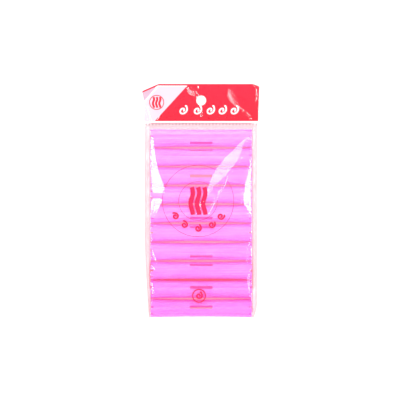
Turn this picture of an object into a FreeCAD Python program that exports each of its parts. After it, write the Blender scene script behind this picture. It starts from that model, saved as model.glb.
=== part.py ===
# Hanging retail pack of ten slotted hair rollers.
#
# Ten castellated perm rollers lie one above another in a clear film pouch. The pouch hangs from
# a printed header card, which sits in a folded film sleeve and is punched with a hang hole. The
# film turns under the lowest roller and ends in a stick-down flap on the back.
#
# Frame: millimetres, +Z up, the printed front faces -Y, the rollers lie along X. The origin is
# the centre of the hang hole, in the middle of the card's thickness.

import FreeCAD, Part
import math
import os

Vector = FreeCAD.Vector
X_AXIS = Vector(1, 0, 0)
Z_AXIS = Vector(0, 0, 1)
CENTRE = Vector(0, 0, 0)

# Roller
roller_count = 10
roller_length = 83.0
roller_end_diameter = 15.2
waist_relief = 0.6  # how far the middle of the roller is sunk below its ends, on the radius
roller_wall = 1.5
rim_length = 3.0  # the straight band at each end
rim_chamfer = 0.3
groove_count = 8  # drain grooves and end notches, evenly spaced; an even number
groove_width = 1.0
groove_depth = 0.3
notch_width = 2.1
notch_depth = 2.4
slot_length = 18.5
slot_width = 2.6
slot_corner = 0.5
# How each roller happens to lie: how far its slot is turned down from facing the front, degrees
slot_turns = (37, -56, 0, 65, 31, -44, 36, -44, -15, -10)

# Packing
roller_gap = 0.3  # between one roller's rims and the next one's
film_clearance = 0.3  # between a roller and the film, all round
film_thickness = 0.25
side_margin = 4.3  # from a roller's end to the outer edge of the bag
weld_width = 1.2
seal_height = 3.4
seal_to_roller = 2.0  # from the heat seal down to the top of the first roller
knurl_pitch = 2.75
knurl_width = 1.3
knurl_height = 0.15
crease_gap = 0.2  # between the card's lower edge and the seal, where the film folds

# Header
hole_diameter = 8.2
hole_to_top = 13.5
header_height = 31.6
header_overhang = 1.0  # the card is this much wider than the bag on each side
header_corner = 1.0
card_thickness = 0.4
card_clearance = 0.05
sleeve_overhang = 0.5

# Closing flap on the back
flap_overlap = 22.0  # how far the flap lies over the back film
flap_inset = 1.5  # from the side welds
flap_gap = 0.45  # between the back film and the flap, where the adhesive is
adhesive_height = 12.0
adhesive_thickness = 0.3
adhesive_inset = 3.0
adhesive_below_edge = 4.0

# Worked out from the sizes above
end_radius = roller_end_diameter / 2
waist_radius = end_radius - waist_relief
half_length = roller_length / 2
roller_pitch = roller_end_diameter + roller_gap
bag_half = half_length + side_margin
weld_inner = bag_half - weld_width
header_bottom = hole_to_top - header_height
seal_bottom = header_bottom - seal_height
top_axis = seal_bottom - seal_to_roller - end_radius
bottom_axis = top_axis - (roller_count - 1) * roller_pitch
mouth_top = bottom_axis + roller_pitch
inner_radius = end_radius + film_clearance
outer_radius = inner_radius + film_thickness
layers_half = card_thickness / 2 + card_clearance + film_thickness
crease_z = header_bottom - crease_gap - layers_half
bag_bottom = bottom_axis - outer_radius
hinge_y = outer_radius + flap_gap + film_thickness / 2
REACH = 1.0  # how far a cutting tool runs past what it cuts


def block(x_range, y_range, z_range):
    """A box between three pairs of coordinates."""
    low = Vector(x_range[0], y_range[0], z_range[0])
    size = [r[1] - r[0] for r in (x_range, y_range, z_range)]
    return Part.makeBox(size[0], size[1], size[2], low)


def drum(radius, low, high, along):
    """A cylinder on an axis through low, running up to high along the given direction."""
    return Part.makeCylinder(radius, (high - low).Length, low, along)


def turned(shape, degrees):
    """A copy of the shape turned about the roller's own axis."""
    copy = shape.copy()
    copy.rotate(CENTRE, X_AXIS, degrees)
    return copy


def line(a, b):
    return Part.LineSegment(a, b).toShape()


def arc(a, through, b):
    return Part.Arc(a, through, b).toShape()


def at(x, r):
    """A point of the roller's profile: x along its axis, r out from it."""
    return Vector(x, 0, r)


# ---------------------------------------------------------------- roller

def waisted_line(radius_at_end, radius_at_waist, shoulder):
    """The hollowed curve from one shoulder of the roller to the other."""
    return arc(at(-shoulder, radius_at_end), at(0, radius_at_waist), at(shoulder, radius_at_end))


def roller_tube():
    """The plain waisted tube, with straight rims and chamfered ends."""
    shoulder = half_length - rim_length
    bore_end = end_radius - roller_wall
    edges = [waisted_line(end_radius, waist_radius, shoulder)]
    edges.append(waisted_line(bore_end, waist_radius - roller_wall, shoulder))
    for side in (-1, 1):
        corners = [
            at(side * shoulder, bore_end),
            at(side * half_length, bore_end),
            at(side * half_length, end_radius - rim_chamfer),
            at(side * (half_length - rim_chamfer), end_radius),
            at(side * shoulder, end_radius),
        ]
        edges += [line(a, b) for a, b in zip(corners, corners[1:])]
    outline = Part.Wire(Part.__sortEdges__(edges))
    return Part.Face(outline).revolve(CENTRE, X_AXIS, 360)


def groove_cutter():
    """A blade that follows the waisted surface and cuts one drain groove."""
    shoulder = half_length - rim_length
    tip = half_length + REACH
    floor_end = end_radius - groove_depth
    floor_waist = waist_radius - groove_depth
    top = end_radius + REACH
    edges = [
        line(at(-tip, floor_end), at(-shoulder, floor_end)),
        waisted_line(floor_end, floor_waist, shoulder),
        line(at(shoulder, floor_end), at(tip, floor_end)),
        line(at(tip, floor_end), at(tip, top)),
        line(at(tip, top), at(-tip, top)),
        line(at(-tip, top), at(-tip, floor_end)),
    ]
    face = Part.Face(Part.Wire(edges))
    face.translate(Vector(0, -groove_width / 2, 0))
    return face.extrude(Vector(0, groove_width, 0))


def notch_cutter(side):
    """A round-bottomed blade right across one end, which cuts two opposite notches."""
    reach = end_radius + REACH
    half = notch_width / 2
    centre_x = half_length - notch_depth + half
    low = Vector(centre_x, 0, -reach)
    high = Vector(centre_x, 0, reach)
    blade = block((centre_x, half_length + REACH), (-half, half), (-reach, reach))
    blade = blade.fuse(drum(half, low, high, Z_AXIS))
    if side < 0:
        blade = blade.mirror(CENTRE, X_AXIS)
    return blade


def slot_cutter():
    """A bar with rounded corners right across the middle, which cuts the two drain slots."""
    reach = end_radius + REACH
    half_l = slot_length / 2
    half_w = slot_width / 2
    bar = block((-half_l, half_l), (-half_w, half_w), (-reach, reach))
    upright = [e for e in bar.Edges if abs(e.tangentAt(e.FirstParameter).z) > 0.9]
    return bar.makeFillet(slot_corner, upright)


def make_roller():
    """One roller on the X axis, with its slots facing up and down."""
    step = 360 / groove_count
    cutters = [turned(groove_cutter(), k * step) for k in range(groove_count)]
    for side in (-1, 1):
        cutters += [turned(notch_cutter(side), k * step) for k in range(groove_count // 2)]
    cutters.append(slot_cutter())
    body = roller_tube()
    for cutter in cutters:
        body = body.cut(cutter)
    return body


# ---------------------------------------------------------------- pouch

def tangent_point(apex, centre_z, radius, side):
    """Where a straight film from the apex (y, z) first touches the circle round a roller."""
    dy = apex[0]
    dz = apex[1] - centre_z
    distance = math.hypot(dy, dz)
    to_apex = math.atan2(dz, dy)
    turn = math.acos(radius / distance)
    angle = to_apex - side * turn
    return radius * math.cos(angle), centre_z + radius * math.sin(angle)


def side_profile(radius, apex_half):
    """The pouch's outline seen from its side: apex at the seal, round at both ends."""
    half = bag_half + REACH

    def point(y, z):
        return Vector(-half, y, z)

    edges = []
    bends = {}
    for side in (-1, 1):
        apex = (side * apex_half, seal_bottom)
        touch = tangent_point(apex, top_axis, radius, side)
        middle = (math.atan2(touch[1] - top_axis, touch[0]) + (0 if side > 0 else math.pi)) / 2
        bend = (radius * math.cos(middle), top_axis + radius * math.sin(middle))
        edges.append(line(point(*apex), point(*touch)))
        edges.append(arc(point(*touch), point(*bend), point(side * radius, top_axis)))
        edges.append(line(point(side * radius, top_axis), point(side * radius, bottom_axis)))
        bends[side] = point(*apex)
    edges.append(
        arc(point(-radius, bottom_axis), point(0, bottom_axis - radius), point(radius, bottom_axis))
    )
    if apex_half > 0:
        edges.append(line(bends[-1], bends[1]))
    face = Part.Face(Part.Wire(Part.__sortEdges__(edges)))
    return face.extrude(Vector(2 * half, 0, 0))


def plan_prism(shoulder_x, edge_x, radius):
    """The pouch's outline seen from above: widest at the welds, narrower at the front and back."""
    lean = (edge_x - shoulder_x) / radius
    far = radius + REACH
    far_x = edge_x - lean * far
    low = bag_bottom - REACH
    corners = [(edge_x, 0), (far_x, far), (-far_x, far), (-edge_x, 0), (-far_x, -far), (far_x, -far)]
    points = [Vector(x, y, low) for x, y in corners]
    outline = Part.makePolygon(points + points[:1])
    return Part.Face(outline).extrude(Vector(0, 0, seal_bottom - low + REACH))


def pouch_volume(grow):
    """The space inside the pouch, or with the film's thickness added to it."""
    radius = inner_radius + grow
    shoulder_x = half_length + film_clearance + grow
    edge_x = weld_inner - film_thickness + grow
    return side_profile(radius, grow).common(plan_prism(shoulder_x, edge_x, radius))


def make_pouch():
    """The front film, which also turns under the lowest roller, and the back film."""
    outer = pouch_volume(film_thickness)
    film = outer.cut(pouch_volume(0))
    far = outer_radius + REACH
    wide = (-bag_half, bag_half)
    behind = block(wide, (0, far), (bottom_axis, seal_bottom + REACH))
    above_mouth = block(wide, (0, far), (mouth_top, seal_bottom + REACH))
    return film.cut(behind), film.common(above_mouth), outer


def make_side_weld(side, pouch):
    """The welded edge of the two films, down one side of the bag."""
    start = weld_inner - film_thickness
    x_range = (start, bag_half) if side > 0 else (-bag_half, -start)
    strip = block(x_range, (-film_thickness, film_thickness), (bag_bottom, seal_bottom))
    return strip.cut(pouch)


def make_heat_seal():
    """The band at the top of the pouch: ribbed on both faces, round where it folds."""
    band = block((-bag_half, bag_half), (-layers_half, layers_half), (seal_bottom, crease_z))
    fold = drum(layers_half, Vector(-bag_half, 0, crease_z), Vector(bag_half, 0, crease_z), X_AXIS)
    proud = layers_half + knurl_height
    span = bag_half - knurl_pitch / 2
    count = int(2 * span / knurl_pitch) + 1
    first = -(count - 1) * knurl_pitch / 2
    ribs = []
    for k in range(count):
        x = first + k * knurl_pitch
        x_range = (x - knurl_width / 2, x + knurl_width / 2)
        z_range = (seal_bottom + knurl_height, crease_z - knurl_height)
        ribs.append(block(x_range, (-proud, proud), z_range))
    return band.multiFuse([fold] + ribs).removeSplitter()


# ---------------------------------------------------------------- header

def hole_punch():
    """The drill that makes the hang hole."""
    reach = layers_half + REACH
    return drum(hole_diameter / 2, Vector(0, -reach, 0), Vector(0, reach, 0), Vector(0, 1, 0))


def make_header_card():
    """The printed card, with slightly rounded corners and the hang hole."""
    half = bag_half + header_overhang
    half_t = card_thickness / 2
    card = block((-half, half), (-half_t, half_t), (header_bottom, hole_to_top))
    corners = [e for e in card.Edges if abs(e.tangentAt(e.FirstParameter).y) > 0.9]
    return card.makeFillet(header_corner, corners).cut(hole_punch())


def make_header_sleeve():
    """The clear film folded over the card's top edge, open at the sides."""
    half = bag_half + header_overhang + sleeve_overhang
    inner_half = card_thickness / 2 + card_clearance
    inner_top = hole_to_top + card_clearance
    outer = block(
        (-half, half), (-layers_half, layers_half), (header_bottom, inner_top + film_thickness)
    )
    hollow = block(
        (-half - REACH, half + REACH), (-inner_half, inner_half), (header_bottom - REACH, inner_top)
    )
    return outer.cut(hollow).cut(hole_punch())


# ---------------------------------------------------------------- closing flap

def make_flap():
    """The stick-down flap, with a rounded lower edge that turns about the fold line."""
    half = weld_inner - flap_inset
    radius = film_thickness / 2
    top = mouth_top + flap_overlap
    sheet = block((-half, half), (hinge_y - radius, hinge_y + radius), (bottom_axis, top))
    fold = drum(radius, Vector(-half, hinge_y, bottom_axis), Vector(half, hinge_y, bottom_axis), X_AXIS)
    return sheet.fuse(fold).removeSplitter()


def make_adhesive():
    """The strip of adhesive on the flap's inner face."""
    half = weld_inner - flap_inset - adhesive_inset
    inner_face = hinge_y - film_thickness / 2
    top = mouth_top + flap_overlap - adhesive_below_edge
    y_range = (inner_face - adhesive_thickness, inner_face)
    return block((-half, half), y_range, (top - adhesive_height, top))


# ---------------------------------------------------------------- all of it

def make_parts():
    """Every sub-part as name and shape."""
    parts = {}
    roller = make_roller()
    for k in range(roller_count):
        placed = turned(roller, 90 + slot_turns[k % len(slot_turns)])
        placed.translate(Vector(0, 0, top_axis - k * roller_pitch))
        parts[f"roller_{k + 1:02d}"] = placed
    front, back, pouch = make_pouch()
    parts["pouch_front_film"] = front
    parts["pouch_back_film"] = back
    parts["side_weld_left"] = make_side_weld(-1, pouch)
    parts["side_weld_right"] = make_side_weld(1, pouch)
    parts["heat_seal"] = make_heat_seal()
    parts["header_card"] = make_header_card()
    parts["header_sleeve"] = make_header_sleeve()
    parts["closing_flap"] = make_flap()
    parts["adhesive_strip"] = make_adhesive()
    return parts


os.makedirs("parts", exist_ok=True)
for name, shape in make_parts().items():
    shape.exportStep(f"parts/{name}.step")
    print(f"{name}: {len(shape.Solids)} solid, {shape.Volume:.1f} mm3, valid {shape.isValid()}")
print(f"roller axes from z {top_axis:.2f} down to {bottom_axis:.2f}, {roller_pitch:.2f} apart")
print(f"crease at z {crease_z:.2f}; flap fold at y {hinge_y:.3f}, z {bottom_axis:.2f}")
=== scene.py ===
import math
import bmesh
import bpy
from mathutils import Matrix, Vector, noise


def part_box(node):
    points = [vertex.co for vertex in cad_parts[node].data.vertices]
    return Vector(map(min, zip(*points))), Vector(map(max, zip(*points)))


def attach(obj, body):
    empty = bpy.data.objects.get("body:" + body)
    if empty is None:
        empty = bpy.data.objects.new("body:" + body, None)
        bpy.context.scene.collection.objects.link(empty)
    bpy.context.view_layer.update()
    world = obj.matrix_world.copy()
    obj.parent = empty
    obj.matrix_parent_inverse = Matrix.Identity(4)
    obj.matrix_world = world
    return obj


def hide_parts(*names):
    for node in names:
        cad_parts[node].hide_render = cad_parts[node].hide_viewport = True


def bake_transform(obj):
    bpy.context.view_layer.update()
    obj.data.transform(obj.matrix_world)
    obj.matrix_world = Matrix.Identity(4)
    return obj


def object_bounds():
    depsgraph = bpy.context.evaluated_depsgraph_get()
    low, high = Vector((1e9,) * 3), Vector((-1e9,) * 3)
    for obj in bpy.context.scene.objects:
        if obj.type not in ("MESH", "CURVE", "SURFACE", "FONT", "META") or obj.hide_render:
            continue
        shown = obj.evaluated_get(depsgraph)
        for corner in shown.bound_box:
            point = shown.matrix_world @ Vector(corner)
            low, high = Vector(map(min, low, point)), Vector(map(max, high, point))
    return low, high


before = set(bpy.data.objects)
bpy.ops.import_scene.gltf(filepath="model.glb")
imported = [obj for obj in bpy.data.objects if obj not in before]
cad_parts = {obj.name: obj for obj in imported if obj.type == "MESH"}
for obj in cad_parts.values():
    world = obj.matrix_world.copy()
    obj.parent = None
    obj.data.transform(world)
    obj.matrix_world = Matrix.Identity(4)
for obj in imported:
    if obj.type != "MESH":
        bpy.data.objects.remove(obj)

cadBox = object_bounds()
mm = 0.001
print("frame loaded")

# ---- what the frame says, in metres

rollerNames = sorted(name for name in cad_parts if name.startswith("roller_"))
firstLow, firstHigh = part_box(rollerNames[0])
lastLow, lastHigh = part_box(rollerNames[-1])
sealLow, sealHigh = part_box("heat_seal")
cardLow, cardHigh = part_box("header_card")
sleeveLow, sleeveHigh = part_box("header_sleeve")
flapLow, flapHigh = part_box("closing_flap")
filmReach = -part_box("pouch_front_film")[0].y
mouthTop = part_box("pouch_back_film")[0].z

pack = {
    "rollerHalf": firstHigh.x,
    "topAxis": (firstLow.z + firstHigh.z) / 2,
    "lowAxis": (lastLow.z + lastHigh.z) / 2,
    "bagHalf": sealHigh.x,
    "cardHalf": cardHigh.x,
    "filmRadius": filmReach - 0.15 * mm,
    "apex": 0.3 * mm,
}
pack["pitch"] = (pack["topAxis"] - pack["lowAxis"]) / (len(rollerNames) - 1)


# ---- shader maths

class Wire:
    # one output of a node; maths on it adds Math nodes
    def __init__(self, paint, socket):
        self.paint = paint
        self.socket = socket

    def math(self, operation, *values):
        inputs = dict(enumerate(values))
        return self.paint.node("Math", {"operation": operation}, inputs)

    def __add__(self, other):
        return self.math("ADD", self, other)

    def __radd__(self, other):
        return self.math("ADD", other, self)

    def __sub__(self, other):
        return self.math("SUBTRACT", self, other)

    def __rsub__(self, other):
        return self.math("SUBTRACT", other, self)

    def __mul__(self, other):
        return self.math("MULTIPLY", self, other)

    def __rmul__(self, other):
        return self.math("MULTIPLY", other, self)

    def __truediv__(self, other):
        return self.math("DIVIDE", self, other)

    def __pow__(self, other):
        return self.math("POWER", self, other)

    def __abs__(self):
        return self.math("ABSOLUTE", self)

    def __gt__(self, other):
        return self.math("GREATER_THAN", self, other)

    def __lt__(self, other):
        return self.math("LESS_THAN", self, other)


class Paint:
    # a material and the nodes in it
    def __init__(self, name):
        self.material = bpy.data.materials.new(name)
        self.material.use_nodes = True
        self.tree = self.material.node_tree
        self.tree.nodes.clear()

    def node(self, kind, settings, values, out=0):
        made = self.tree.nodes.new("ShaderNode" + kind)
        for key, value in settings.items():
            setattr(made, key, value)
        for key, value in values.items():
            if isinstance(value, Wire):
                self.tree.links.new(value.socket, made.inputs[key])
            else:
                made.inputs[key].default_value = value
        return Wire(self, made.outputs[out])

    def mix(self, share, first, second):
        return self.node("Mix", {"data_type": "RGBA"}, {0: share, 6: first, 7: second}, 2)

    def along(self, axis):
        # the piece's own x, y or z, in metres
        spot = self.node("TexCoord", {}, {}, "Object")
        return self.node("SeparateXYZ", {}, {"Vector": spot}, axis)

    def ramp(self, value, low, high, first=0.0, last=1.0):
        # goes from first to last while value goes from low to high
        return self.node("MapRange", {}, {0: value, 1: low, 2: high, 3: first, 4: last})

    def noise(self, scale, detail=3.0, rough=0.5):
        # scale is waves per metre along the piece's own x, y and z
        spot = self.node("TexCoord", {}, {}, "Object")
        spot = self.node("Mapping", {}, {"Vector": spot, "Scale": scale})
        values = {"Vector": spot, "Scale": 1.0, "Detail": detail, "Roughness": rough}
        return self.node("TexNoise", {}, values)

    def bump(self, height, strength, distance):
        values = {"Height": height, "Strength": strength, "Distance": distance}
        return self.node("Bump", {}, values)

    def solid(self, values):
        return self.node("BsdfPrincipled", {}, values)

    def glow(self, tint):
        # light that comes through from behind
        return self.node("BsdfTranslucent", {}, {"Color": tint})

    def glass(self, tint):
        return self.node("BsdfTransparent", {}, {"Color": tint})

    def blend(self, share, first, second):
        return self.node("MixShader", {}, {0: share, 1: first, 2: second})

    def finish(self, shader):
        end = self.tree.nodes.new("ShaderNodeOutputMaterial")
        self.tree.links.new(shader.socket, end.inputs["Surface"])
        return self.material


def colour(red, green, blue):
    return (red, green, blue, 1.0)


# ---- materials

rollerLook = {
    "pink": colour(0.97, 0.265, 0.74),
    "deep": colour(0.94, 0.155, 0.60),
    "roughness": 0.34,
    "glow": 0.9,  # how much light goes through the plastic
    "glowDepth": 6.0 * mm,
    "paintedShadeBelow": 7.2,  # painted shade: the lower rollers are darker, as the light falls off towards the bottom
    "lit": colour(1.0, 0.20, 0.58),  # painted light: the bore glows in this colour, standing in for light that has come through the wall
    "paintedBoreGlowPower": 0.2,
}


def rollerPlastic(name, paintedBoreGlow=False):
    paint = Paint(name)
    flow = paint.noise((14, 1100, 1100), 3.0, 0.55)
    cloud = paint.noise((70, 120, 120), 2.0)
    down = pack["topAxis"] - paint.along("Z")
    # the last term paints shade: darker on the lower rollers
    share = (flow - 0.5) * 2.6 + (cloud - 0.5) * 0.6 + 0.28 + (down * rollerLook["paintedShadeBelow"]) ** 3
    skin = paint.noise((2600, 2600, 2600), 2.0)
    grain = paint.bump(flow * 0.6 + skin * 0.4, 0.25, 0.00006)
    look = {
        "Base Color": paint.mix(share, rollerLook["pink"], rollerLook["deep"]),
        "Roughness": rollerLook["roughness"] + (skin - 0.5) * 0.14,
        "Normal": grain,
        "IOR": 1.49,
        "Subsurface Weight": rollerLook["glow"],
        "Subsurface Radius": (1.0, 0.3, 0.75),
        "Subsurface Scale": rollerLook["glowDepth"],
    }
    # painted light: the bore's faces glow a little, though no lamp is there
    if paintedBoreGlow:
        look["Emission Color"] = paint.mix(cloud, rollerLook["lit"], rollerLook["pink"])
        look["Emission Strength"] = rollerLook["paintedBoreGlowPower"]
    return paint.finish(paint.solid(look))


filmLook = {
    "shine": 0.032,  # share mirrored where the film faces you
    "grazing": 0.42,
    "roughness": 0.07,
    "edgeHaze": 0.85,  # the crumpled sides are milky
    "lowHaze": 0.35,  # and less so towards the bottom
    "white": colour(1.0, 0.98, 0.99),
    "peach": colour(0.93, 0.50, 0.60),  # the flap's tint starts at the sides below the mouth
    "peachHaze": 0.6,
    "peachFrom": mouthTop + 4 * mm,
    "peachFull": mouthTop - 6 * mm,
    "clear": colour(1.0, 0.994, 0.996),
    "milkyMatt": 0.3,  # what the milky sides add to the roughness
    "milkyMetal": 0.9,  # and take from the mirror
    "edgeFrom": 41.0 * mm,
    "edgeTo": 43.2 * mm,
}


def atSides(paint):
    # 0 over the rollers, 1 in the loose film beside them
    return paint.ramp(abs(paint.along("X")), filmLook["edgeFrom"], filmLook["edgeTo"])


def clearFilm(name, layers=1):
    # layers is 2 where the film is a closed solid, whose two faces share the shine
    paint = Paint(name)
    streak = paint.noise((240, 240, 110), 3.0, 0.55)
    fine = paint.noise((1500, 1500, 900), 2.0)
    turned = paint.node("LayerWeight", {}, {"Blend": 0.5}, "Facing")
    share = filmLook["shine"] + turned ** 3 * filmLook["grazing"]
    mirror, tint = 1.0, filmLook["white"]
    rough = filmLook["roughness"] + (fine - 0.5) * 0.04
    if layers == 1:
        milky = atSides(paint)
        rise = paint.along("Z")
        haze = paint.ramp(rise, pack["lowAxis"], pack["topAxis"], filmLook["lowHaze"])
        haze = haze * filmLook["edgeHaze"]
        below = paint.ramp(rise, filmLook["peachFull"], filmLook["peachFrom"], 1.0, 0.0)
        share = share + milky * (haze * (streak - 0.12) + below * filmLook["peachHaze"])
        tint = paint.mix(below, filmLook["white"], filmLook["peach"])
        mirror = 1 - milky * filmLook["milkyMetal"]
        rough = rough + milky * filmLook["milkyMatt"]
    look = {
        "Base Color": tint,
        "Metallic": mirror,
        "Roughness": rough,
        "Normal": paint.bump(streak * 0.8 + fine * 0.2, 0.018, 0.0004),
    }
    clear = paint.glass(filmLook["clear"])
    return paint.finish(paint.blend(share * (1 / layers), clear, paint.solid(look)))


peachLook = {
    # painted light: the saturated salmon behind the rollers stands in for the rollers' pink light bounced
    # onto the film's own peach tint; the top and side colours are painted lighter where it is lit
    # directly
    "light": colour(0.97, 0.27, 0.42),
    "deep": colour(0.95, 0.20, 0.36),
    "side": colour(0.68, 0.45, 0.50),  # paler round the rollers: milky where it is crumpled, and painted lighter where it is lit directly
    "top": colour(0.72, 0.62, 0.635),  # and painted lighter above the first roller, where it is lit directly
    "cover": 0.62,
    # the see-through tints carry the same painted light: salmon behind the rollers, paler where it is lit
    # directly
    "through": colour(1.0, 0.30, 0.50),
    "directlyLitThrough": colour(0.97, 0.62, 0.68),
    "lit": 0.5,  # share of the light that comes through from behind
    "topFrom": pack["topAxis"] + 6.2 * mm,
    "topTo": pack["topAxis"] + 7.6 * mm,
}


def peachFilm():
    paint = Paint("peachFilm")
    crumple = paint.noise((260, 260, 140), 4.0, 0.6)
    fine = paint.noise((1300, 1300, 1300), 2.0)
    above = paint.ramp(paint.along("Z"), peachLook["topFrom"], peachLook["topTo"])
    beside = atSides(paint)
    tint = paint.mix(crumple, peachLook["light"], peachLook["deep"])
    tint = paint.mix(above, tint, peachLook["top"])
    tint = paint.mix(beside, tint, peachLook["side"])
    look = {
        "Base Color": tint,
        "Roughness": 0.24 + fine * 0.16,
        "Normal": paint.bump(crumple * 0.8 + fine * 0.2, 0.35, 0.0005),
        "IOR": 1.5,
    }
    light, top, sides = [paint.glow(peachLook[part]) for part in ("light", "top", "side")]
    behind = paint.blend(beside, paint.blend(above, light, top), sides)
    skin = paint.blend(peachLook["lit"], paint.solid(look), behind)
    # where the film is painted lighter, as it is lit directly
    pale = 1 - (1 - above) * (1 - beside)
    bounceTintClear, directlyLitClear = paint.glass(peachLook["through"]), paint.glass(peachLook["directlyLitThrough"])
    clear = paint.blend(pale, bounceTintClear, directlyLitClear)
    return paint.finish(paint.blend(peachLook["cover"] + (crumple - 0.5) * 0.12, clear, skin))


weldLook = {
    "pale": colour(0.74, 0.62, 0.64),
    "deep": colour(0.70, 0.54, 0.57),
    # painted shade for the dips between the ribs
    "ribDipShade": colour(0.26, 0.13, 0.16),
    # painted shade along the crease at the seal's top, under the header's foot
    "crease": colour(0.62, 0.19, 0.26),
    "clear": colour(1.0, 0.95, 0.95),
    "lit": 0.3,
    "ribPitch": 2.75 * mm,  # the ribs' own pitch, one rib at the middle
    "ribLow": sealLow.z + 1.0 * mm,
    "sealTopShadeLow": sealHigh.z - 0.85 * mm,
}


def weldedFilm(name, cover, ribbed=False):
    paint = Paint(name)
    rise = paint.along("Z")
    cloud = paint.noise((500, 500, 500), 3.0)
    tint = paint.mix(cloud, weldLook["pale"], weldLook["deep"])
    ripple = cloud
    if ribbed:
        turn = paint.along("X") * (2 * math.pi / weldLook["ribPitch"])
        dips = 0.5 - turn.math("COSINE", turn) * 0.5
        ripple = cloud * 0.4 + dips * 0.6
        # painted shade darkens the dips between the ribs
        shade = (dips ** 2) * (rise > weldLook["ribLow"]) * (0.5 + cloud)
        tint = paint.mix(shade, tint, weldLook["ribDipShade"])
        # painted shade: the seal's top band, under the header's foot, is darker
        tint = paint.mix((rise > weldLook["sealTopShadeLow"]) * 0.85, tint, weldLook["crease"])
    look = {
        "Base Color": tint,
        "Roughness": 0.26 + cloud * 0.2,
        "Normal": paint.bump(ripple, 0.3, 0.0002),
        "Specular IOR Level": 0.3,
    }
    skin = paint.blend(weldLook["lit"], paint.solid(look), paint.glow(weldLook["pale"]))
    clear = paint.glass(weldLook["clear"])
    return paint.finish(paint.blend(cover + (cloud - 0.5) * 0.3, clear, skin))


cardLook = {
    "red": colour(0.80, 0.0, 0.018),
    "rose": colour(0.78, 0.006, 0.038),
    "lilac": colour(0.54, 0.47, 0.57),
    "paleLilac": colour(0.60, 0.56, 0.62),
    "shaded": colour(0.56, 0.38, 0.48),  # the bent corner
    "creaseHighlight": colour(0.80, 0.78, 0.80),  # painted highlight along its crease
    "white": colour(0.84, 0.82, 0.84),
    "cornerPoint": (-25.0, -2.6),  # a point on the slanting border of the pale corner, mm
    "cornerTurn": 47.5,  # its slant, degrees
    "topLine": 1.3,  # the white line's distance from the top edge, mm
    "whiteLine": 0.75,
    "lowLine": 1.15,
    "creaseHighlightWide": 1.3,
}


# Two corners of the header are bent back. The crease runs from start to end, and tip is how
# far the corner itself has moved in x and z, all in mm.
bentCorners = [
    {"start": (-36.3, 12.0), "end": (-46.8, -0.4), "tip": (-1.9, -5.6), "back": 5.0, "side": -1},
    {"start": (42.6, 13.5), "end": (46.8, 8.6), "tip": (0.2, -1.7), "back": 1.4, "side": 1},
]


def pastCrease(x, z, corner):
    # how far a point is outside the crease, for numbers and for wires
    startX, startZ = corner["start"]
    endX, endZ = corner["end"]
    length = math.hypot(endX - startX, endZ - startZ)
    outX = corner["side"] * abs(endZ - startZ) / length
    outZ = abs(endX - startX) / length
    return (x - startX) * outX + (z - startZ) * outZ


def cardPrint(printed):
    # printed is the front; the back is plain red with the same pale foot
    paint = Paint("cardPrintFront" if printed else "cardPrintBack")
    flat = paint.node("UVMap", {"uv_map": "flat"}, {})
    parted = paint.node("SeparateXYZ", {}, {"Vector": flat}, "X")
    across = (parted - 0.5) * (2 * pack["cardHalf"] / mm)
    rise = paint.node("SeparateXYZ", {}, {"Vector": flat}, "Y")
    up = rise * ((cardHigh.z - cardLow.z) / mm) + cardLow.z / mm
    fibre = paint.noise((700, 700, 700), 4.0, 0.65)
    cloud = paint.noise((45, 45, 30), 2.0)
    red = paint.mix(rise * 0.5 + cloud * 0.4, cardLook["red"], cardLook["rose"])
    pale = paint.mix(cloud, cardLook["lilac"], cardLook["paleLilac"])
    foot = up < cardLow.z / mm + cardLook["lowLine"]
    if printed:
        slant = math.radians(cardLook["cornerTurn"])
        startX, startZ = cardLook["cornerPoint"]
        past = (across - startX) * math.sin(slant) - (up - startZ) * math.cos(slant)
        corner = 1 - (past > 0)
        topZ = cardHigh.z / mm - cardLook["topLine"]
        underTop = up < topZ
        line = underTop * (up > topZ - cardLook["whiteLine"]) * corner
        outside = pastCrease(across, up, bentCorners[0])
        # painted highlight along the bent corner's crease
        pale = paint.mix((outside > -cardLook["creaseHighlightWide"]) * 0.8, pale, cardLook["creaseHighlight"])
        pale = paint.mix(outside > 0.0, pale, cardLook["shaded"])
        sheet = paint.mix(corner * (up < topZ - 0.8 * (outside > 0.0)), red, pale)
        sheet = paint.mix(line * (outside < 0.0), sheet, cardLook["white"])
        sheet = paint.mix(foot, sheet, cardLook["white"])
    else:
        sheet = paint.mix(foot, red, cardLook["white"])
    look = {
        "Base Color": sheet,
        "Roughness": 0.42 + fibre * 0.16,
        "Normal": paint.bump(fibre, 0.12, 0.00008),
        "Specular IOR Level": 0.06,
    }
    return paint.finish(paint.solid(look))


def inkLayer(name, ink):
    paint = Paint(name)
    cloud = paint.noise((900, 900, 900), 3.0)
    worn = paint.noise((240, 240, 240), 2.0)
    deep = colour(*(part * 0.86 for part in ink[:3]))
    look = {
        "Base Color": paint.mix(worn, ink, deep),
        "Roughness": 0.40 + cloud * 0.15,
        "Normal": paint.bump(cloud, 0.08, 0.00004),
        "Specular IOR Level": 0.15,
    }
    return paint.finish(paint.solid(look))


tackLook = {
    "milk": colour(0.93, 0.90, 0.84),
    "dust": colour(0.84, 0.81, 0.75),
    "behind": colour(0.96, 0.93, 0.88),
    "clear": colour(1.0, 0.99, 0.98),
    "cover": 0.15,
}


def tackyStrip():
    paint = Paint("tackyStrip")
    bubbles = paint.noise((420, 420, 420), 3.0)
    look = {
        "Base Color": paint.mix(bubbles, tackLook["milk"], tackLook["dust"]),
        "Roughness": 0.25 + bubbles * 0.2,
        "Normal": paint.bump(bubbles, 0.3, 0.0001),
    }
    skin = paint.blend(0.5, paint.solid(look), paint.glow(tackLook["behind"]))
    clear = paint.glass(tackLook["clear"])
    return paint.finish(paint.blend(tackLook["cover"] + bubbles * 0.25, clear, skin))


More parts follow.
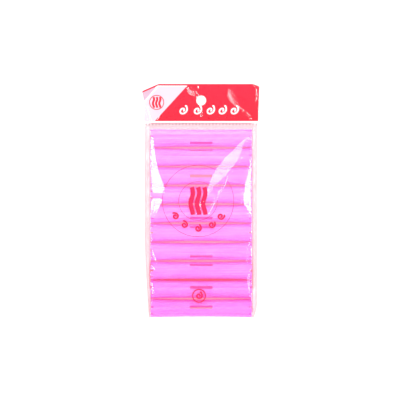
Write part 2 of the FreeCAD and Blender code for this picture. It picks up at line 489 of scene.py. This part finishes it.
def studioWhite():
    paint = Paint("studioWhite")
    cloud = paint.noise((3, 3, 3), 2.0)
    shade = paint.mix(cloud, colour(0.93, 0.93, 0.93), colour(0.90, 0.90, 0.90))
    return paint.finish(paint.solid({"Base Color": shade, "Roughness": 0.9}))


pinkPlastic = rollerPlastic("rollerPlastic")
# the bore's material has a painted glow
glowingBorePlastic = rollerPlastic("rollerBorePaintedGlow", True)
clearSkin = clearFilm("clearFilm")
foldedSkin = clearFilm("foldedFilm", 2)
peachSkin = peachFilm()
weldSkin = weldedFilm("weldedEdge", 0.6)
sealSkin = weldedFilm("ribbedSeal", 0.9, True)
redInk = inkLayer("redInk", colour(0.74, 0.008, 0.075))
cardInk = inkLayer("cardInk", colour(0.80, 0.004, 0.03))
whiteInk = inkLayer("whiteInk", colour(0.84, 0.82, 0.84))
tackySkin = tackyStrip()
print("materials made")


# ---- helpers for pieces

def objectFrom(bm, name, material, smooth=True):
    mesh = bpy.data.meshes.new(name)
    bm.to_mesh(mesh)
    bm.free()
    mesh.materials.append(material)
    for face in mesh.polygons:
        face.use_smooth = smooth
    made = bpy.data.objects.new(name, mesh)
    bpy.context.scene.collection.objects.link(made)
    return made


def clamp(value, low=0.0, high=1.0):
    return max(low, min(high, value))


def ease(value):
    value = clamp(value)
    return value * value * (3 - 2 * value)


def sliceUp(bm, axis, pitch):
    # cuts the mesh across one axis at even steps, so that it can bend
    places = [vert.co[axis] for vert in bm.verts]
    low, high = min(places), max(places)
    normal = Vector([1.0 if k == axis else 0.0 for k in range(3)])
    for step in range(1, int((high - low) / pitch) + 1):
        spot = normal * (low + step * pitch)
        whole = bm.verts[:] + bm.edges[:] + bm.faces[:]
        bmesh.ops.bisect_plane(bm, geom=whole, dist=1e-8, plane_co=spot, plane_no=normal)


# ---- how the film lies

# A fold is a line of points (x, z, width across, all in mm). Its surface climbs across the
# width and falls back over the lip: to the right where side is 1, to the left where it is -1.
# lean is the climb in degrees.
foldShape = {"lip": 0.9, "calm": 2.2}  # calm is how far the film stays taut beside a fold

pouchFolds = [
    {"side": 1, "lean": 5.8, "line": [
        (39.5, -28, 0.5), (32.5, -36.5, 5.6), (25.4, -47.3, 12.4), (18.8, -56, 13.6),
        (14, -62.9, 11), (8.2, -71, 4.8), (1.8, -81.3, 3.2), (-4, -93.3, 0.8)]},
    {"side": 1, "lean": 5.6, "line": [
        (21.4, -62.5, 0.5), (17, -71, 2.0), (10.9, -81.3, 1.7), (2.8, -98, 0.5)]},
    {"side": -1, "lean": 6.9, "line": [
        (-41.2, -24, 1.4), (-40.4, -32, 3.0), (-39.8, -40.7, 3.8), (-38.8, -53, 5.6),
        (-37.4, -61.2, 8), (-35.8, -69.4, 10.6), (-35.2, -76, 11.2), (-36.6, -77.4, 8)]},
    {"side": -1, "lean": 6.9, "line": [
        (-36.8, -80, 7), (-36.4, -82, 9.6), (-38, -88, 8), (-40, -94, 5), (-41.5, -99, 1.5)]},
    {"side": -1, "lean": 4.2, "line": [
        (41.8, -44, 0.8), (40.6, -53, 3), (40, -61.2, 4.4), (38.9, -67.8, 7),
        (38.2, -77.7, 8.4), (38.6, -86, 8), (40.6, -91.6, 4), (42, -98, 0.8)]},
    {"side": 1, "lean": 6.6, "line": [(40, -112, 0.8), (37.8, -125.3, 2.4), (40.6, -131, 0.8)]},
    {"side": 1, "lean": 6.6, "line": [(36.8, -118, 0.6), (38.4, -127, 1.8), (36.2, -133, 0.6)]},
    {"side": -1, "lean": 6.5, "line": [(-41.2, -117, 0.8), (-39, -128, 2.4), (-34.6, -134.5, 1.0)]},
    {"side": -1, "lean": 6.5, "line": [(-41.4, -133, 0.8), (-38, -139.4, 2.2), (-35, -140, 0.8)]},
    {"side": 1, "lean": 7.6, "line": [(40.4, -136, 0.8), (38.6, -146, 2.4), (39.6, -162, 0.8)]},
    {"side": -1, "lean": 7.6, "line": [(-40.6, -148, 0.8), (-39.4, -158, 2.4), (-40.4, -168, 0.8)]},
]

headerFolds = [
    {"side": 1, "lean": 5.2, "line": [
        (-12, 12.6, 1.2), (-9.2, 8, 5.4), (-6.2, 4.2, 6.0), (-4.6, 2, 2.0)]},
    {"side": -1, "lean": 5.2, "line": [(-2.8, 12.9, 2.4), (-2.2, 9, 0.6)]},
    {"side": -1, "lean": 4.2, "line": [(0.4, -7.2, 1.6), (0.7, -11, 1.6), (1, -16.4, 0.8)]},
    {"side": 1, "lean": 6.0, "line": [
        (22.6, 10, 0.8), (23.4, 4, 4.4), (26, -1.6, 4.2), (30, -5.6, 2.2), (34, -9.2, 1.0)]},
    {"side": 1, "lean": 6.6, "line": [(35.4, -9.8, 1.2), (38, -12.6, 2.2), (40.4, -15.6, 1.2)]},
    {"side": -1, "lean": 6.9, "line": [(-45.6, 2, 0.5), (-43.6, -8, 2.4), (-41, -17.6, 1.6)]},
    {"side": 1, "lean": 3.6, "line": [(-33, -9.6, 0.4), (-34.6, -14, 1.6), (-36.6, -17.6, 2.6)]},
    {"side": 1, "lean": 8.0, "line": [(43.4, 11, 0.4), (44, 4, 1.2), (43.4, -2, 0.4)]},
]


def foldAt(folds, x, z):
    # x and z in mm; gives the height in mm and how taut the film is there, 0 to 1
    total, taut = 0.0, 0.0
    for fold in folds:
        line = fold["line"]
        lip = foldShape["lip"]
        ramp = math.tan(math.radians(fold["lean"]))
        widest = max(point[2] for point in line) + lip
        if not min(p[0] for p in line) - widest < x < max(p[0] for p in line) + widest:
            continue
        if not line[-1][1] < z < line[0][1]:
            continue
        for (x0, z0, w0), (x1, z1, w1) in zip(line, line[1:]):
            if not z1 <= z <= z0:
                continue
            share = (z0 - z) / (z0 - z1)
            width = w0 + (w1 - w0) * share
            off = fold["side"] * (x - x0 - (x1 - x0) * share)
            if -width / 2 < off <= width / 2:
                total += (off + width / 2) * ramp
            elif width / 2 < off < width / 2 + lip:
                total += width * ramp * (1 - ease((off - width / 2) / lip))
            taut = max(taut, ease((width / 2 + foldShape["calm"] - abs(off)) / foldShape["calm"]))
            break
    return total, taut


# heights in mm, front and back; sag is how far the film dips between two rollers
wrinkles = {
    "broad": (0.10, 0.2),
    "sag": (0.06, 0.5),
    "fine": 0.02,
    "crumple": 0.24,
    "crumpleFrom": 9 * mm,  # this far in from the rollers' ends
    "crumpleOver": 11 * mm,
    "smoothed": 0.92,  # share of the fine wrinkles that goes beside a fold
    "backShift": 40.0,  # takes the back's wrinkles from another part of the noise
}


def noiseAt(x, z, wide, tall, layer):
    return noise.noise(Vector((x / wide, z / tall, layer)))


def filmOffset(x, z, back=False):
    # how far the film stands off its plain shape, in metres
    xm, zm = x / mm, z / mm
    shift = wrinkles["backShift"] if back else 0.0
    broad = noiseAt(xm + 19 * shift, zm, 19, 31, 3.1)
    slack = noiseAt(xm + 5 * shift, zm, 5, 9, 7.7)
    fine = noiseAt(xm + 2.1 * shift, zm, 2.1, 3.6, 1.3)
    near = ease((abs(x) - pack["rollerHalf"] + wrinkles["crumpleFrom"]) / wrinkles["crumpleOver"])
    row = (pack["topAxis"] - z) / pack["pitch"]
    sag = -wrinkles["sag"][back] * (1 - math.cos(2 * math.pi * row)) / 2 * (1 - near)
    fold, taut = (0.0, 0.0) if back else foldAt(pouchFolds, xm, zm)
    height = wrinkles["broad"][back] * broad + sag + fold
    loose = wrinkles["fine"] * fine + wrinkles["crumple"] * near * (0.6 * slack - 0.5 * abs(fine))
    return (height + loose * (1 - wrinkles["smoothed"] * taut)) * mm


# ---- the pouch

bagShape = {
    "weld": 1.2 * mm,
    "leftOut": 0.7 * mm,  # the left edge stands out a little
    "leftFrom": -115 * mm,  # and draws in below this
    "rightFrom": -166 * mm,
    "draw": 2.9 * mm,
    "bottom": pack["lowAxis"] - pack["filmRadius"],
    "sideArc": 9.4 * mm,
    "shoulder": 0.3 * mm,  # the film turns in this far inside the rollers' ends
    "calmEnd": 3 * mm,  # wrinkles fade out over this at the film's two ends
    "overlap": 0.15 * mm,  # of a weld on the film
    "weldThick": 0.12 * mm,
    "weldWave": 0.32,  # mm
    "rows": 340,
    "columns": 190,
}


def edgeAt(z, side):
    # how far out the pouch's edge is at this height
    start = bagShape["leftFrom"] if side < 0 else bagShape["rightFrom"]
    share = clamp((start - z) / (start - bagShape["bottom"]))
    if side < 0:
        draw = bagShape["draw"] + bagShape["leftOut"]
        return pack["bagHalf"] + bagShape["leftOut"] - draw * share ** 1.25
    return pack["bagHalf"] - bagShape["draw"] * share ** 1.8


def topSlope():
    # the film's length from the seal to the top roller's round, and the angle where it meets it
    radius = pack["filmRadius"]
    rise = sealLow.z - pack["topAxis"]
    reach = math.hypot(pack["apex"], rise)
    touch = math.atan2(rise, -pack["apex"]) + math.acos(radius / reach)
    return math.sqrt(reach * reach - radius * radius), touch


def sidePath(travel, back):
    # the film's line seen from the side; gives y, z and the outward direction's y, z
    radius, topAxis = pack["filmRadius"], pack["topAxis"]
    slope, touch = topSlope()
    bend = radius * (math.pi - touch)
    straight = topAxis - (mouthTop if back else pack["lowAxis"])
    if travel < slope:
        share = travel / slope
        outY, outZ = math.cos(touch), math.sin(touch)
        y = -pack["apex"] + (radius * outY + pack["apex"]) * share
        z = sealLow.z + (topAxis + radius * outZ - sealLow.z) * share
    elif travel < slope + bend:
        turn = touch + (travel - slope) / radius
        outY, outZ = math.cos(turn), math.sin(turn)
        y, z = radius * outY, topAxis + radius * outZ
    elif back or travel < slope + bend + straight:
        outY, outZ = -1.0, 0.0
        y, z = -radius, topAxis - (travel - slope - bend)
    else:
        turn = math.pi + (travel - slope - bend - straight) / radius
        outY, outZ = math.cos(turn), math.sin(turn)
        y, z = radius * outY, pack["lowAxis"] + radius * outZ
    if back:
        return -y, z, -outY, outZ
    return y, z, outY, outZ


def pathLength(back):
    radius = pack["filmRadius"]
    slope, touch = topSlope()
    length = slope + radius * (math.pi - touch)
    if back:
        return length + pack["topAxis"] - mouthTop
    return length + pack["topAxis"] - pack["lowAxis"] + math.pi * radius


def makePouchFilm(name, material, back):
    total = pathLength(back)
    bm = bmesh.new()
    bmesh.ops.create_grid(bm, x_segments=bagShape["columns"], y_segments=bagShape["rows"], size=1.0)
    shoulder = pack["rollerHalf"] - bagShape["shoulder"]
    flatShare = shoulder / (shoulder + bagShape["sideArc"])
    for vert in bm.verts:
        across, travel = vert.co.x, (1 - vert.co.y) / 2 * total
        y, z, outY, outZ = sidePath(travel, back)
        side = -1 if across < 0 else 1
        seam = edgeAt(z, side) - bagShape["weld"]
        if abs(across) < flatShare:
            x, lean = across / flatShare * shoulder, 0.0
        else:
            lean = (abs(across) - flatShare) / (1 - flatShare) * math.pi / 2
            x = side * (shoulder + (seam - shoulder) * math.sin(lean))
        out = Vector((side * math.sin(lean), outY * math.cos(lean), outZ * math.cos(lean)))
        rim = min(travel, total - travel) / bagShape["calmEnd"]
        calm = ease(rim) * ease((1 - abs(across)) * 14)
        spot = Vector((x, y * math.cos(lean), z)) + out.normalized() * filmOffset(x, z, back) * calm
        vert.co = spot
    if back:
        bmesh.ops.reverse_faces(bm, faces=bm.faces[:])
    return objectFrom(bm, name, material)


def makeWeld(name, side):
    bm = bmesh.new()
    bmesh.ops.create_grid(bm, x_segments=3, y_segments=220, size=1.0)
    high, low = sealLow.z, bagShape["bottom"] + 0.3 * mm
    for vert in bm.verts:
        z = low + (vert.co.y + 1) / 2 * (high - low)
        outer = edgeAt(z, side)
        inner = outer - bagShape["weld"] - bagShape["overlap"]
        x = inner + (vert.co.x + 1) / 2 * (outer - inner)
        wave = noise.noise(Vector((side * 9.0, z / mm / 7, vert.co.x))) * (vert.co.x + 1.4)
        vert.co = Vector((side * x, bagShape["weldWave"] * wave * mm, z))
    made = objectFrom(bm, name, weldSkin)
    thick = made.modifiers.new("thickness", "SOLIDIFY")
    thick.thickness = bagShape["weldThick"]
    thick.offset = 0
    return made


frontFilm = makePouchFilm("frontFilm", clearSkin, False)
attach(frontFilm, "pouch")
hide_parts("pouch_front_film")

backFilm = makePouchFilm("backFilm", peachSkin, True)
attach(backFilm, "pouch")
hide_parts("pouch_back_film")

for side, word in ((-1, "left"), (1, "right")):
    weld = makeWeld(word + "Weld", side)
    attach(weld, "pouch")
    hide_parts("side_weld_" + word)
print("pouch film made")


# ---- rollers, seal and strip keep their solids and get their finish

def finishNode(name, material):
    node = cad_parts[name]
    node.data.materials.clear()
    node.data.materials.append(material)


for count, name in enumerate(rollerNames):
    finishNode(name, pinkPlastic)
    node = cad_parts[name]
    node.data.materials.append(glowingBorePlastic)
    axis = Vector((0, 0, pack["topAxis"] - count * pack["pitch"]))
    for face in node.data.polygons:
        # a face that looks at the axis is inside the bore
        out = node.matrix_world @ face.center - axis
        out.x = 0
        if out.dot(face.normal) < -0.5 * out.length:
            face.material_index = 1
finishNode("heat_seal", sealSkin)
finishNode("adhesive_strip", tackySkin)


# ---- the header

# how far the card is bowed, and how far its right edge leans out at the top, in mm
headerBend = {"bow": 0.35, "bowLength": 21, "leanOut": 0.8, "leanFrom": 20, "flatBelow": -18}


def bendHeader(x, y, z):
    # x, y and z in mm; the card is a little bowed and its corners are bent back
    rise = z - headerBend["flatBelow"]
    fade = 1 - abs(x) / 60
    y += headerBend["bow"] * math.sin(x / headerBend["bowLength"] + 0.6) * fade * ease(rise / 14)
    x += headerBend["leanOut"] * ease((x - headerBend["leanFrom"]) / 27) * ease(rise / 31)
    for corner in bentCorners:
        tipX, tipZ = corner["side"] * pack["cardHalf"] / mm, cardHigh.z / mm
        share = max(0.0, pastCrease(x, z, corner) / pastCrease(tipX, tipZ, corner))
        soft = share * ease(share * 6 + 0.2)
        x += corner["tip"][0] * soft
        y += corner["back"] * soft
        z += corner["tip"][1] * soft
    return x, y, z


def copyNode(name, pitch):
    bm = bmesh.new()
    bm.from_mesh(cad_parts[name].data)
    bmesh.ops.remove_doubles(bm, verts=bm.verts[:], dist=1e-6)
    sliceUp(bm, 0, pitch)
    sliceUp(bm, 2, pitch)
    return bm


def makeCard():
    bm = copyNode("header_card", 2 * mm)
    flat = bm.loops.layers.uv.new("flat")
    for face in bm.faces:
        face.material_index = 0 if face.calc_center_median().y < 0 else 1
        for loop in face.loops:
            spot = loop.vert.co
            u = (spot.x + pack["cardHalf"]) / (2 * pack["cardHalf"])
            v = (spot.z - cardLow.z) / (cardHigh.z - cardLow.z)
            loop[flat].uv = (u, v)
    for vert in bm.verts:
        vert.co = Vector(bendHeader(*(vert.co / mm))) * mm
    made = objectFrom(bm, "printedCard", cardPrint(True), False)
    made.data.materials.append(cardPrint(False))
    return made


sleeveShape = {"lift": 0.05, "slack": 0.05, "tight": 0.01, "rim": 2.5, "hole": 4.0}  # in mm


def sleeveLift(x, z):
    # how far the sleeve's front stands off the card, mm
    rim = sleeveShape["rim"]
    calm = ease((cardHigh.z / mm - z) / rim) * ease((z - cardLow.z / mm) / rim)
    nearHole = ease((math.hypot(x, z) - sleeveShape["hole"]) / rim)
    fold, taut = foldAt(headerFolds, x, z)
    lift = sleeveShape["lift"] + sleeveShape["slack"] * noiseAt(x, z, 13, 8, 5.0)
    lift += sleeveShape["tight"] * noiseAt(x, z, 3.4, 2.6, 9.0) * (1 - taut)
    return (lift + fold) * calm * nearHole


def makeSleeve():
    bm = copyNode("header_sleeve", 0.6 * mm)
    for vert in bm.verts:
        x, y, z = vert.co / mm
        lift = sleeveLift(x, z)
        y += lift * 0.5 if y > 0 else -lift
        vert.co = Vector(bendHeader(x, y, z)) * mm
    return objectFrom(bm, "sleeveFilm", foldedSkin)


card = makeCard()
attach(card, "header")
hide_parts("header_card")

sleeve = makeSleeve()
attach(sleeve, "header")
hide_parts("header_sleeve")
print("header made")


# ---- printed marks

marks = {  # sizes and places in mm
    "ringCentre": (-2.6, -82.6),
    "outerRing": 29.2,
    "innerRing": 15.8,
    "ringWidth": 0.28,
    "strands": {"pitch": 5.1, "tall": 22.5, "stroke": 3.5, "sway": 1.0},
    "curl": {"radius": 3.2, "stroke": 1.35, "slant": 0},
    "curlReach": 22.4,
    "curlTurns": (-56, -30, 0, 30, 56),
    "badgeCentre": (-1.8, -160.1),
    "badgeRing": 5.2,
    "badgeWidth": 0.95,
    "badgeCurl": {"radius": 3.3, "stroke": 1.25, "slant": 0},
    "cardStrands": {"pitch": 2.6, "tall": 8.8, "stroke": 1.7, "sway": 0.5},
    "cardCentre": (-36.6, -1.6),
    "cardRing": 5.8,
    "cardRingWidth": 0.65,
    "cardCurl": {"radius": 4.1, "stroke": 1.35, "slant": 0.25},
    "cardCurls": (-15, -3.2, 7.4, 17.2, 27),
    "cardCurlHeight": -8.2,
    "lift": 0.07,
    "strokeThick": 0.08,
}


def onPouch(x, z, lift):
    # a point on the film's front, in mm
    return x, -(pack["filmRadius"] + filmOffset(x * mm, z * mm)) / mm - lift, z


def onCard(x, z, lift):
    return bendHeader(x, cardLow.y / mm - lift, z)


def layOn(bm, surface, centre):
    # bm is in mm round its own centre, facing the front; it is moved and laid on the surface
    for vert in bm.verts:
        lift = marks["lift"] - vert.co.y
        vert.co = Vector(surface(vert.co.x + centre[0], vert.co.z + centre[1], lift)) * mm


def makeRing(name, radius, width, centre, surface, ink, steps=128):
    bm = bmesh.new()
    ends = [bm.verts.new((radius - width / 2, 0, 0)), bm.verts.new((radius + width / 2, 0, 0))]
    bm.edges.new(ends)
    bmesh.ops.spin(bm, geom=bm.verts[:] + bm.edges[:], cent=(0, 0, 0), axis=(0, 1, 0),
                   angle=2 * math.pi, steps=steps, use_merge=True)
    bmesh.ops.recalc_face_normals(bm, faces=bm.faces[:])
    bmesh.ops.reverse_faces(bm, faces=bm.faces[:])  # a flat ring comes out facing the back
    sliceUp(bm, 0, 1.5)
    layOn(bm, surface, centre)
    return objectFrom(bm, name, ink)


def strokeMesh(lines, stroke):
    # soft strokes along lines of points in x and z, in mm, almost flat
    curve = bpy.data.curves.new("stroke", "CURVE")
    curve.dimensions = "3D"
    curve.bevel_depth = stroke / 2
    curve.bevel_resolution = 2
    curve.use_fill_caps = True
    for line in lines:
        spline = curve.splines.new("NURBS")
        spline.points.add(len(line) - 1)
        for point, (x, z) in zip(spline.points, line):
            point.co = (x, 0, z, 1)
        spline.order_u = 3
        spline.use_endpoint_u = True
    holder = bpy.data.objects.new("strokeLine", curve)
    bpy.context.scene.collection.objects.link(holder)
    bpy.context.view_layer.update()
    finished = holder.evaluated_get(bpy.context.evaluated_depsgraph_get())
    mesh = bpy.data.meshes.new_from_object(finished)
    bpy.data.objects.remove(holder)
    bm = bmesh.new()
    bm.from_mesh(mesh)
    bmesh.ops.scale(bm, verts=bm.verts[:], vec=(1, marks["strokeThick"] / stroke, 1))
    return bm


# a curl's spiral in degrees, and its lengths as shares of the curl's radius
curlShape = {"steps": 15, "start": -60, "step": 36, "inner": 0.16, "tail": 0.35}


def makeCurl(name, size, turn, centre, surface, ink):
    # a curl of hair: a spiral that ends in a tail
    steps, radius = curlShape["steps"], size["radius"]
    line = []
    for step in range(steps + 1):
        angle = math.radians(curlShape["start"] + curlShape["step"] * step)
        reach = radius * (curlShape["inner"] + (1 - curlShape["inner"]) * step / steps)
        tail = max(0, step - steps + 2) * curlShape["tail"] * radius
        z = reach * math.sin(angle)
        line.append((reach * math.cos(angle) + tail + z * size["slant"], z))
    bm = strokeMesh([line], size["stroke"])
    bmesh.ops.rotate(bm, verts=bm.verts[:], cent=(0, 0, 0), matrix=Matrix.Rotation(turn, 3, "Y"))
    layOn(bm, surface, centre)
    return objectFrom(bm, name, ink)


def makeStrands(name, size, centre, surface, ink):
    # three waved strands of hair side by side
    lines = []
    for place in (-1, 0, 1):
        line = []
        for step in range(13):
            share = step / 12
            x = place * size["pitch"] + size["sway"] * math.sin(share * 2.5 * math.pi)
            line.append((x, (0.5 - share) * size["tall"]))
        lines.append(line)
    bm = strokeMesh(lines, size["stroke"])
    layOn(bm, surface, centre)
    return objectFrom(bm, name, ink)


ringAt, ringWide = marks["ringCentre"], marks["ringWidth"]
badgeAt, badgeWide = marks["badgeCentre"], marks["badgeWidth"]
pouchMarks = [
    makeRing("outerRing", marks["outerRing"], ringWide, ringAt, onPouch, redInk, 180),
    makeRing("innerRing", marks["innerRing"], ringWide, ringAt, onPouch, redInk),
    makeStrands("pouchStrands", marks["strands"], ringAt, onPouch, redInk),
    makeRing("badgeRing", marks["badgeRing"], badgeWide, badgeAt, onPouch, redInk),
    makeCurl("badgeCurl", marks["badgeCurl"], 0, badgeAt, onPouch, redInk),
]
for count, turn in enumerate(marks["curlTurns"]):
    bearing = math.radians(turn)
    x = ringAt[0] + marks["curlReach"] * math.sin(bearing)
    z = ringAt[1] - marks["curlReach"] * math.cos(bearing)
    curl = makeCurl(f"pouchCurl{count + 1}", marks["curl"], bearing, (x, z), onPouch, redInk)
    pouchMarks.append(curl)
for mark in pouchMarks:
    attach(mark, "pouch")

cardMarks = [
    makeRing("cardRing", marks["cardRing"], marks["cardRingWidth"], marks["cardCentre"], onCard, cardInk),
    makeStrands("cardStrands", marks["cardStrands"], marks["cardCentre"], onCard, cardInk),
]
for count, x in enumerate(marks["cardCurls"]):
    centre = (x, marks["cardCurlHeight"])
    curl = makeCurl(f"cardCurl{count + 1}", marks["cardCurl"], 0, centre, onCard, whiteInk)
    cardMarks.append(curl)
for mark in cardMarks:
    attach(mark, "header")
print("marks made")


# ---- the flap on the back, and the film across the crease

backShape = {
    "broad": 0.10,  # the flap's waves, mm
    "fine": 0.03,
    "rootTurn": -26,  # degrees of the pouch's lower edge under the flap's end
    "rootOut": 0.12 * mm,
    "creaseUp": 1.2 * mm,  # the crease film's ends, above the card's foot and below the seal's top
    "creaseDown": 1.4 * mm,
    "creaseOut": 0.16 * mm,
    "creaseWave": 0.05 * mm,
}


def makeFlap():
    bm = bmesh.new()
    bmesh.ops.create_grid(bm, x_segments=90, y_segments=40, size=1.0)
    middle = (flapLow.y + flapHigh.y) / 2
    for vert in bm.verts:
        x = vert.co.x * flapHigh.x
        share = (vert.co.y + 1) / 2
        z = pack["lowAxis"] + share * (flapHigh.z - pack["lowAxis"])
        wave = noiseAt(x / mm, z / mm, 16, 9, 2.0)
        fine = noiseAt(x / mm, z / mm, 4, 3, 6.0)
        lift = (backShape["broad"] * wave + backShape["fine"] * fine) * ease(share * 5)
        vert.co = Vector((x, middle + lift * mm, z))
    bmesh.ops.reverse_faces(bm, faces=bm.faces[:])
    return objectFrom(bm, "flapFilm", peachSkin)


def makeFlapRoot():
    # the welded end of the flap, round the pouch's lower edge
    bm = bmesh.new()
    bmesh.ops.create_grid(bm, x_segments=60, y_segments=8, size=1.0)
    for vert in bm.verts:
        turn = math.radians((vert.co.y + 1) / 2 * backShape["rootTurn"])
        reach = pack["filmRadius"] + backShape["rootOut"]
        y, z = reach * math.cos(turn), pack["lowAxis"] + reach * math.sin(turn)
        vert.co = Vector((vert.co.x * flapHigh.x, y, z))
    return objectFrom(bm, "flapRoot", peachSkin)


def makeCreaseFilm():
    bm = bmesh.new()
    bmesh.ops.create_grid(bm, x_segments=60, y_segments=14, size=1.0)
    high, low = cardLow.z + backShape["creaseUp"], sealHigh.z - backShape["creaseDown"]
    for vert in bm.verts:
        x = vert.co.x * pack["bagHalf"]
        z = low + (vert.co.y + 1) / 2 * (high - low)
        y = sleeveLow.y - backShape["creaseOut"]
        y -= backShape["creaseWave"] * noiseAt(x / mm, z / mm, 5, 1, 4.0)
        vert.co = Vector((x, y, z))
    return objectFrom(bm, "creaseFilm", clearSkin)


flap = makeFlap()
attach(flap, "flap")
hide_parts("closing_flap")

root = makeFlapRoot()
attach(root, "pouch")

crease = makeCreaseFilm()
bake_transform(crease)
print("flap and crease made")


# ---- studio

studio = {
    "viewDistance": 1.5,
    "viewWidth": 328.7 * mm,
    "viewCentre": (-1.0 * mm, -81.8 * mm),
    "boxDistance": 1.2,
    "boxTurn": 10.0,
    "boxWidth": 0.1,
    "boxHeight": 0.8,
    "boxLift": 0.05,
    "leftPower": 3.1,
    "rightPower": 5.9,
    "top": {"place": (0, -0.35, 1.0), "width": 1.2, "height": 0.9, "power": 7.0},
    "rear": {"place": (0.1, 1.0, 0.6), "width": 0.7, "height": 0.5, "power": 10.0},
    "floorDrop": 0.09,
    "backdropAway": 1.6,
    "backdropLift": 2.0,
    "sheetHalf": 2.2,
    "air": 1.0,
    "sensor": 36,
}


def makeLight(name, place, aim, width, height, power):
    lamp = bpy.data.lights.new(name, "AREA")
    lamp.shape = "RECTANGLE"
    lamp.size, lamp.size_y = width, height
    lamp.energy = power
    made = bpy.data.objects.new(name, lamp)
    bpy.context.scene.collection.objects.link(made)
    made.location = place
    made.rotation_euler = (Vector(aim) - Vector(place)).to_track_quat("-Z", "Y").to_euler()
    return made


def makeStudio():
    middle = (0, 0, studio["viewCentre"][1])
    for side in (-1, 1):
        turn = math.radians(studio["boxTurn"])
        away = studio["boxDistance"]
        place = (side * away * math.sin(turn), -away * math.cos(turn), middle[2] + studio["boxLift"])
        name, power = ("leftBox", studio["leftPower"]) if side < 0 else ("rightBox", studio["rightPower"])
        makeLight(name, place, middle, studio["boxWidth"], studio["boxHeight"], power)
    for name in ("top", "rear"):
        makeLight(name + "Box", aim=middle, **studio[name])
    floorZ = cadBox[0].z - studio["floorDrop"]
    backAt = (0, studio["backdropAway"], floorZ + studio["backdropLift"])
    upright = Matrix.Rotation(math.pi / 2, 3, "X")
    for name, corner in (("floor", (0, 0, floorZ)), ("backdrop", backAt)):
        bm = bmesh.new()
        bmesh.ops.create_grid(bm, x_segments=1, y_segments=1, size=studio["sheetHalf"])
        if name == "backdrop":
            bmesh.ops.rotate(bm, verts=bm.verts[:], cent=(0, 0, 0), matrix=upright)
        bmesh.ops.translate(bm, verts=bm.verts[:], vec=corner)
        objectFrom(bm, name, studioWhite(), False)
    world = bpy.data.worlds.new("studioAir")
    world.use_nodes = True
    glow = world.node_tree.nodes["Background"].inputs
    glow["Color"].default_value = colour(1.0, 1.0, 1.0)
    glow["Strength"].default_value = studio["air"]
    bpy.context.scene.world = world
    bpy.context.scene.view_settings.view_transform = "Standard"


def makeCamera():
    camera = bpy.data.cameras.new("camera")
    camera.sensor_width = studio["sensor"]
    camera.lens = studio["sensor"] * studio["viewDistance"] / studio["viewWidth"]
    made = bpy.data.objects.new("camera", camera)
    bpy.context.scene.collection.objects.link(made)
    x, z = studio["viewCentre"]
    made.location = (x, -studio["viewDistance"], z)
    made.rotation_euler = (math.pi / 2, 0, 0)
    bpy.context.scene.camera = made


makeStudio()
makeCamera()
print("studio made")
